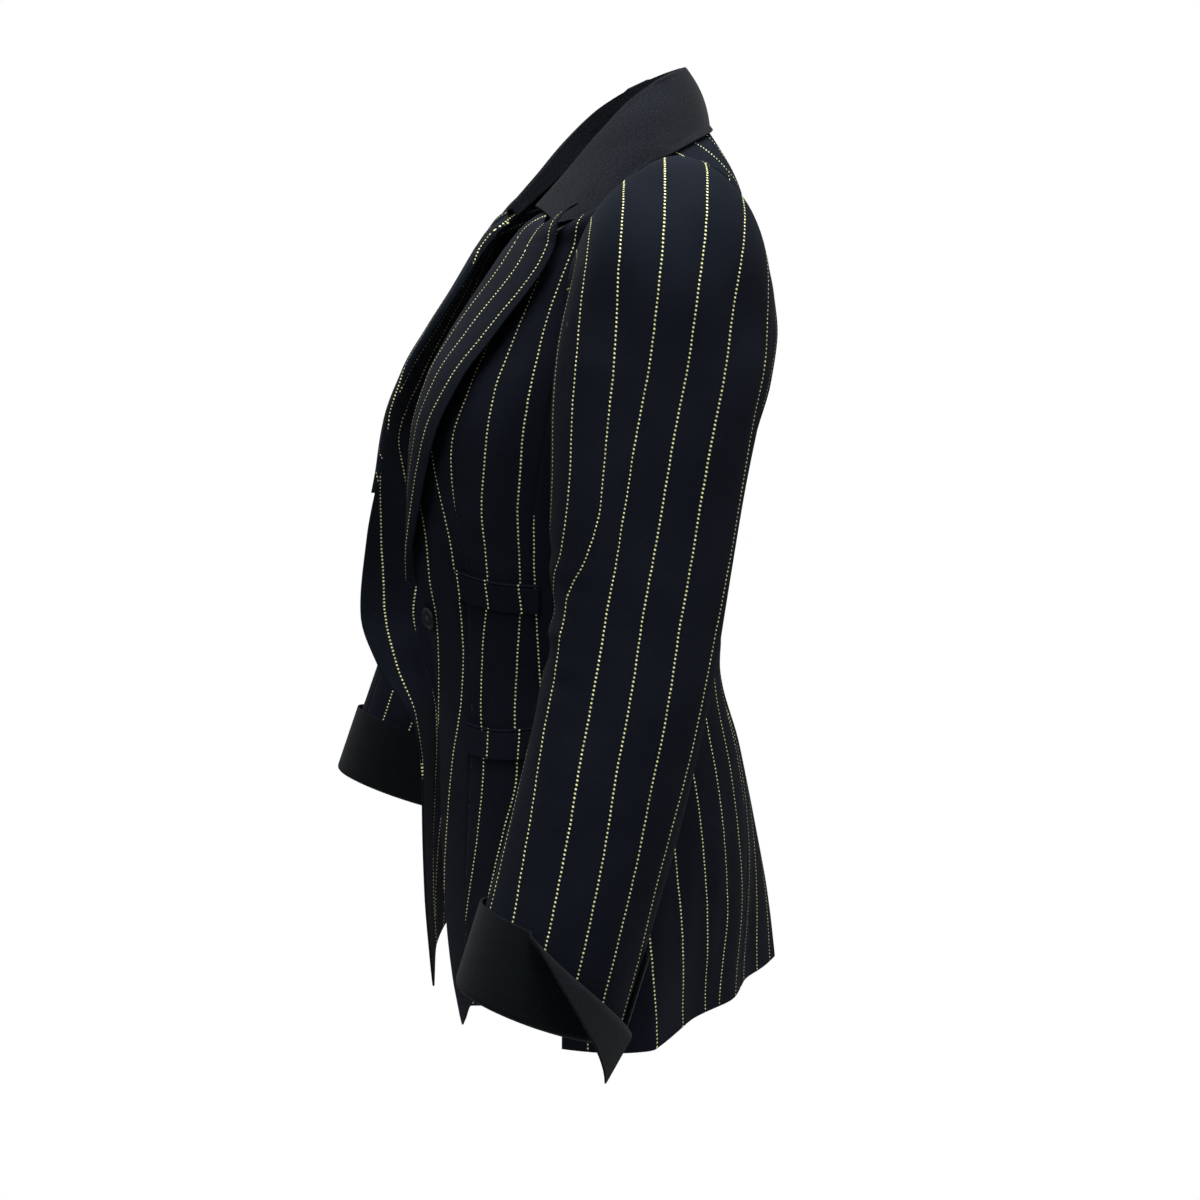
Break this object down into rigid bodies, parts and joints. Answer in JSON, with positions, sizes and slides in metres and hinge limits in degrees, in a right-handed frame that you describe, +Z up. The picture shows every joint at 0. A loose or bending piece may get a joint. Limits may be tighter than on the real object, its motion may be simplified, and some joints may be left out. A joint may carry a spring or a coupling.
{
  "type": "blazer",
  "caption": "Tailored pinstripe blazer held in its worn shape, open at the front, with peaked lapels, plain collar and turned-back cuffs.",
  "frame": {"origin": "middle of the wearer's neck base, level with the collar seam at the back of the neck; the blazer hangs below it from the wearer's shoulders", "axes": "+Z up along the wearer's spine, -Y the way the wearer faces, +X to the wearer's left"},
  "size_m": [0.7269, 0.3461, 0.7744],
  "materials": {
    "pinstripe_wool": "worsted wool, near-black navy with rows of fine pale yellow dots",
    "plain_black_wool": "plain black wool with a short nap",
    "button_black": "black, satin, moulded rim"
  },
  "bodies": {
    "root": {"front_left": "pinstripe_wool", "side_left": "pinstripe_wool", "back_left": "pinstripe_wool", "sleeve_top_left": "pinstripe_wool", "sleeve_under_left": "pinstripe_wool", "lapel_left": "pinstripe_wool", "welt_upper_left": "pinstripe_wool", "jet_upper_left": "pinstripe_wool", "welt_lower_left": "pinstripe_wool", "jet_lower_left": "pinstripe_wool", "front_right": "pinstripe_wool", "side_right": "pinstripe_wool", "back_right": "pinstripe_wool", "sleeve_top_right": "pinstripe_wool", "sleeve_under_right": "pinstripe_wool", "lapel_right": "pinstripe_wool", "welt_upper_right": "pinstripe_wool", "jet_upper_right": "pinstripe_wool", "welt_lower_right": "pinstripe_wool", "jet_lower_right": "pinstripe_wool", "collar": "plain_black_wool", "collar_stand": "plain_black_wool", "cuff_left": "plain_black_wool", "cuff_right": "plain_black_wool", "button_left": "button_black"}
  },
  "joints": []
}
